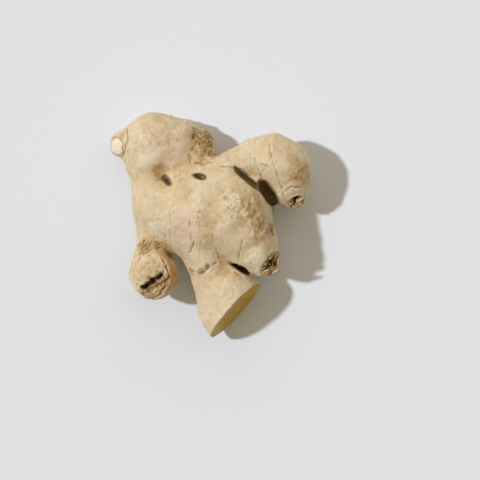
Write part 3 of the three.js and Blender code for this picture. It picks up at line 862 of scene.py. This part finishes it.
# Painted shade in the creases and valleys, broken up by noise, and a painted highlight on the bumps.
crease_shade_noise = f.step(f.grain(1.4, detail=4.0, shift=14.0), 0.25, 0.6)
crease_shade = f.times(f.step(f.mark("crease_shade_and_highlight"), 0.05, 0.9), crease_shade_noise)
colour = f.mix(f.times(crease_shade, 0.6), colour, STAIN_AND_SHADE_TAN)
colour = f.mix(f.step(f.mark("crease_shade_and_highlight"), -0.1, -0.9, high=0.12), colour, IVORY_AND_HIGHLIGHT)
blotch = f.step(f.grain(3.4, detail=6.0, roughness=0.7, shift=7.0), 0.30, 0.60)
brown = f.mix(f.step(f.grain(1.1, detail=4.0, shift=1.5), 0.3, 0.7), STAIN_BROWN, STAIN_AND_SHADE_TAN)
colour = f.mix(f.times(f.mark("stain"), blotch), colour, brown)
colour = f.mix(f.step(f.grain(0.6, detail=3.0), 0.54, 0.72, high=0.33), colour, OCHRE)
colour = f.mix(f.step(f.grain(0.8, detail=1.0, shift=12.0), 0.72, 0.80, high=0.5), colour, BROWN)
ring_line = f.times(f.mark("ring"), f.line("ring_off", 0.22))
furrow_line = f.times(f.mark("furrow"), f.line("furrow_off", 0.3))
broken_line = f.times(ring_line, f.step(f.grain(1.3, shift=15.0), 0.35, 0.6))
colour = f.mix(f.times(broken_line, 0.6), colour, FURROW_AND_SHADE_BROWN)
cork_colour = f.mix(f.step(f.grain(1.2, detail=4.0, shift=4.0), 0.36, 0.6), BROWN, CORK_STRAW)
colour = f.mix(f.mark("cork"), colour, cork_colour)
colour = f.mix(f.mark("peeled"), colour, IVORY_AND_HIGHLIGHT)
colour = f.mix(f.times(f.mark("peel_edge"), 0.7), colour, BROWN)
colour = f.mix(f.times(f.mark("wart"), 0.5), colour, WART_EYE)
# Painted shade: the small hollows of the relief are painted browner.
colour = f.mix(f.times(f.mark("hollow_shade"), 0.42), colour, FURROW_AND_SHADE_BROWN)
colour = f.mix(f.times(furrow_line, 0.65), colour, FURROW_AND_SHADE_BROWN)
dry_cracks = f.times(f.cracks(2.2, 0.022, shift=3.0), f.mark("cork"))
colour = f.mix(f.times(dry_cracks, 0.7), colour, CRACK_AND_SHADE_DARK)
# Painted shade: the floors of the dried scars are painted near black.
colour = f.mix(f.times(f.mark("scar_floor_shade"), 0.9), colour, CRACK_AND_SHADE_DARK)
# Painted shade: the walls of the gaps are painted near black.
colour = f.mix(f.mark("gap"), colour, CRACK_AND_SHADE_DARK)
f.join(colour, f.shader.inputs["Base Color"])
matt = f.step(f.grain(2.0, shift=6.0), 0.3, 0.7, low=0.5, high=0.68)
matt = f.maths("SUBTRACT", matt, f.times(f.mark("gloss"), 0.4))
f.join(matt, f.shader.inputs["Roughness"])
f.shader.inputs["Subsurface Weight"].default_value = 0.3
f.shader.inputs["Subsurface Radius"].default_value = (1.0, 0.5, 0.2)
f.shader.inputs["Subsurface Scale"].default_value = 1.8 * MM
height = f.maths("ADD", f.grain(0.9, detail=4.0, roughness=0.65), f.times(f.grain(0.35), 0.5))
height = f.maths("ADD", height, f.times(f.mark("fibre"), 0.3))
height = f.maths("SUBTRACT", height, f.times(f.maths("ADD", ring_line, furrow_line), 0.5))
height = f.maths("SUBTRACT", height, f.times(dry_cracks, 1.2))
height = f.maths("SUBTRACT", height, f.times(f.cracks(2.8, 0.012, shift=6.0), 0.3))
# Fine growth lines run across each limb, 6.8 radians to the mm, and waver by a noise.
sway = f.times(f.grain(4.0, shift=4.0), 9.0)
wavering = f.maths("ADD", f.times(f.mark("run"), 6.8), sway)
height = f.maths("ADD", height, f.times(f.maths("SINE", wavering, 0.0), 0.035))
f.bump(height, 0.2)
skin.data.materials.clear()
skin.data.materials.append(f.material)

# The cut face: moist yellow flesh, with a brown rind, a paler ring under it and cut fibre ends. It
# takes in the faces of the skin that lie on the knife's plane and face the way the knife left them.
CUT_FLATNESS = 0.35
CUT_FACING = 0.9
FLESH = (0.60, 0.35, 0.03, 1)
FLESH_PALE = (0.70, 0.48, 0.09, 1)
FLESH_DEEP = (0.50, 0.27, 0.015, 1)
RIND = (0.42, 0.28, 0.12, 1)
f = Finish("ginger_flesh")
colour = f.mix(f.step(f.grain(5.0), 0.35, 0.65), FLESH, FLESH_DEEP)
depth = f.mark("rind")
ring_in = f.times(f.step(depth, 1.6, 2.4), f.step(depth, 3.6, 2.6))
colour = f.mix(f.times(ring_in, 0.6), colour, FLESH_PALE)
colour = f.mix(f.step(f.grain(0.7, detail=2.0), 0.55, 0.7, high=0.5), colour, FLESH_PALE)
colour = f.mix(f.step(f.grain(0.5, detail=1.0, shift=8.0), 0.62, 0.72, high=0.6), colour, FLESH_DEEP)
colour = f.mix(f.step(depth, 1.1, 0.5), colour, RIND)
f.join(colour, f.shader.inputs["Base Color"])
f.shader.inputs["Roughness"].default_value = 0.42
f.shader.inputs["Specular IOR Level"].default_value = 0.12
f.shader.inputs["Subsurface Weight"].default_value = 0.2
f.shader.inputs["Subsurface Radius"].default_value = (1.0, 0.6, 0.15)
f.shader.inputs["Subsurface Scale"].default_value = 2.0 * MM
f.bump(f.grain(0.6, detail=4.0, roughness=0.65), 0.16)
skin.data.materials.append(f.material)
face_count = len(skin.data.polygons)
middles = np.empty(face_count * 3)
skin.data.polygons.foreach_get("center", middles)
middles = middles.reshape(-1, 3) / MM
ways = np.empty(face_count * 3)
skin.data.polygons.foreach_get("normal", ways)
ways = ways.reshape(-1, 3)
flat_to_cut = np.abs((middles - CUT_POINT) @ CUT_TOWARDS) < CUT_FLATNESS
facing_out = ways @ CUT_TOWARDS > CUT_FACING
near_cut = np.linalg.norm(middles - CUT_POINT, axis=1) < CUT_REACH
skin.data.polygons.foreach_set("material_index", (flat_to_cut & facing_out & near_cut).astype(int))

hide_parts("ginger_root")
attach(skin, "root")

# Dry flakes: torn, curled ends of old scales and fibres that stand in the dried stem scars. Each is
# a chip, bent and notched, and a scar's flakes are one piece. The thickness is a share of the length.
FLAKE_SEED = 21
FLAKE_THICKNESS = 0.2
FLAKE_SINK = 0.1
skin_tree = tree_of(skin)


def flake_model(curl, hollow_across, seed):
    """A chip of unit length along x from its root, ragged at its end, curling up."""
    random = np.random.default_rng(seed)
    bpy.ops.object.select_all(action="DESELECT")
    bpy.ops.mesh.primitive_grid_add(x_subdivisions=7, y_subdivisions=5, size=1)
    flake = bpy.context.object
    spots = read_places(flake) * MM
    spots[:, 0] += 0.5
    out, side = spots[:, 0].copy(), spots[:, 1].copy()
    spots[:, 1] = side * (1 - 0.5 * out) + 0.1 * random.uniform(-1, 1, len(out)) * np.abs(side) * 2
    spots[:, 0] = out * (1 - 0.5 * side ** 2) + 0.16 * random.uniform(-1, 1, len(out)) * (out > 0.8)
    spots[:, 2] = curl * out ** 2 + hollow_across * (2 * side) ** 2 + 0.03 * random.uniform(-1, 1, len(out))
    write_places(flake, spots / MM)
    wall = flake.modifiers.new("wall", "SOLIDIFY")
    wall.thickness = FLAKE_THICKNESS
    wall.offset = 0
    bpy.ops.object.modifier_apply(modifier=wall.name)
    bpy.ops.object.shade_smooth()
    return flake


FLAKE_SHAPES = [(0.25, 0.1, 31), (0.12, -0.12, 32), (0.4, 0.05, 33), (0.0, 0.16, 34)]
flake_models = [flake_model(curl, across, seed) for curl, across, seed in FLAKE_SHAPES]


def plant(model, name, spot, size, way, facing, lift):
    """Sets a copy of a model on the skin nearest a spot, lifted by an angle from it."""
    foot, normal, _, _ = skin_tree.find_nearest(Vector(spot))
    normal = (normal + 0.6 * Vector(facing)).normalized()
    way = (Vector(way) - normal * Vector(way).dot(normal)).normalized()
    along = way * math.cos(lift) + normal * math.sin(lift)
    top = normal * math.cos(lift) - way * math.sin(lift)
    return placed_copy(model, name, foot - normal * FLAKE_SINK, size, along, top)


def flakes_in_scar(name, middle, facing, radius, number, seed):
    """Flakes in a dried stem scar: wedges that lean in from its rim, and some that stand inside."""
    random = np.random.default_rng(seed)
    facing, side, up = scar_axes(facing)
    flakes = []
    for index in range(number):
        outer = index % 3 < 2
        angle = 2 * math.pi * index / number + random.uniform(-0.25, 0.25)
        out = math.cos(angle) * side + math.sin(angle) * up
        reach = radius * (random.uniform(0.85, 1.0) if outer else random.uniform(0.3, 0.55))
        spot = np.array(middle) - BOX_MIDDLE + out * reach
        way = (-out if outer else out) + random.uniform(-0.45, 0.45) * np.cross(facing, out)
        length = radius * (random.uniform(0.5, 0.7) if outer else random.uniform(0.4, 0.55))
        size = (length, length * random.uniform(0.75, 1.05), length)
        lift = math.radians(random.uniform(-4, 10) if outer else random.uniform(8, 30))
        model = flake_models[random.integers(len(flake_models))]
        flakes.append(plant(model, "flake", spot, size, way, facing, lift))
    return joined(flakes, name)


f = Finish("dry_flake")
straw = f.mix(f.step(f.grain(1.6, shift=2.0), 0.3, 0.7), CORK_STRAW, TAN)
straw = f.mix(f.step(f.grain(0.7, detail=3.0, shift=5.0), 0.52, 0.68, high=0.7), straw, BROWN)
f.join(straw, f.shader.inputs["Base Color"])
f.shader.inputs["Roughness"].default_value = 0.7
f.bump(f.grain(0.5, detail=3.0), 0.12)
dry_flake = f.material

# Each scar has its middle, the way it faces, its radius and the number of its flakes.
SCAR_FLAKES = [
    ("tip_scar_flakes", (30.0, -18.6, 28.0), (0.74, -0.3, 0.6), 7.4, 15),
    ("finger_scar_flakes", (42.4, 12.2, 23.0), (0.45, -0.6, 0.66), 4.8, 12),
    ("head_scar_flakes", (0.2, 38.5, 14.0), (0.94, -0.1, 0.3), 5.4, 12),
    ("stump_flakes", (31.0, 6.2, 15.0), (0.9, -0.1, 0.3), 4.6, 9),
    ("underside_scar_flakes", (18.0, -2.0, 4.5), (0.35, 0.1, -0.93), 4.6, 9),
]
for number, (name, middle, facing, radius, how_many) in enumerate(SCAR_FLAKES):
    flakes = flakes_in_scar(name, middle, facing, radius, how_many, FLAKE_SEED + number)
    flakes.data.materials.append(dry_flake)
    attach(flakes, "root")
for model in flake_models:
    bpy.data.objects.remove(model)

# Cork crumbs: loose grains of dry bark, thickest on the collar under the knob and in the old scars,
# and few on the knob itself. They are lumps half sunk in the skin, all one piece.
CRUMBS = 150
CRUMB_SEED = 55
CRUMB_SINK = 0.2
CRUMBS_ON_KNOB = 0.2
random = np.random.default_rng(CRUMB_SEED)
crumb_models = []
for seed in range(3):
    bpy.ops.object.select_all(action="DESELECT")
    bpy.ops.mesh.primitive_ico_sphere_add(subdivisions=2, radius=1)
    model = bpy.context.object
    spots = read_places(model) * MM
    spots *= 1 + 0.9 * noise(spots + 5 * seed, 0.9, 90 + seed)[:, None]
    write_places(model, spots / MM)
    bpy.ops.object.shade_smooth()
    crumb_models.append(model)
weights = np.clip(cork * hold, 0, 1) ** 2 * (gap_shade < 0.2)
weights = weights * np.where(knob_reach < KNOB_REACH, CRUMBS_ON_KNOB, 1.0)
crumb_pieces = []
for index in random.choice(count, CRUMBS, replace=False, p=weights / weights.sum()):
    model = crumb_models[random.integers(3)]
    size = random.uniform(0.3, 0.75) * np.array((1.2, random.uniform(0.5, 0.8), random.uniform(0.35, 0.6)))
    way = random.normal(size=3)
    spot = places[index] - CRUMB_SINK * normals[index]
    crumb_pieces.append(placed_copy(model, "crumb", spot, size, way, normals[index]))
for model in crumb_models:
    bpy.data.objects.remove(model)
crumbs_piece = joined(crumb_pieces, "cork_crumbs")
crumbs_piece.data.materials.append(dry_flake)
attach(crumbs_piece, "root")
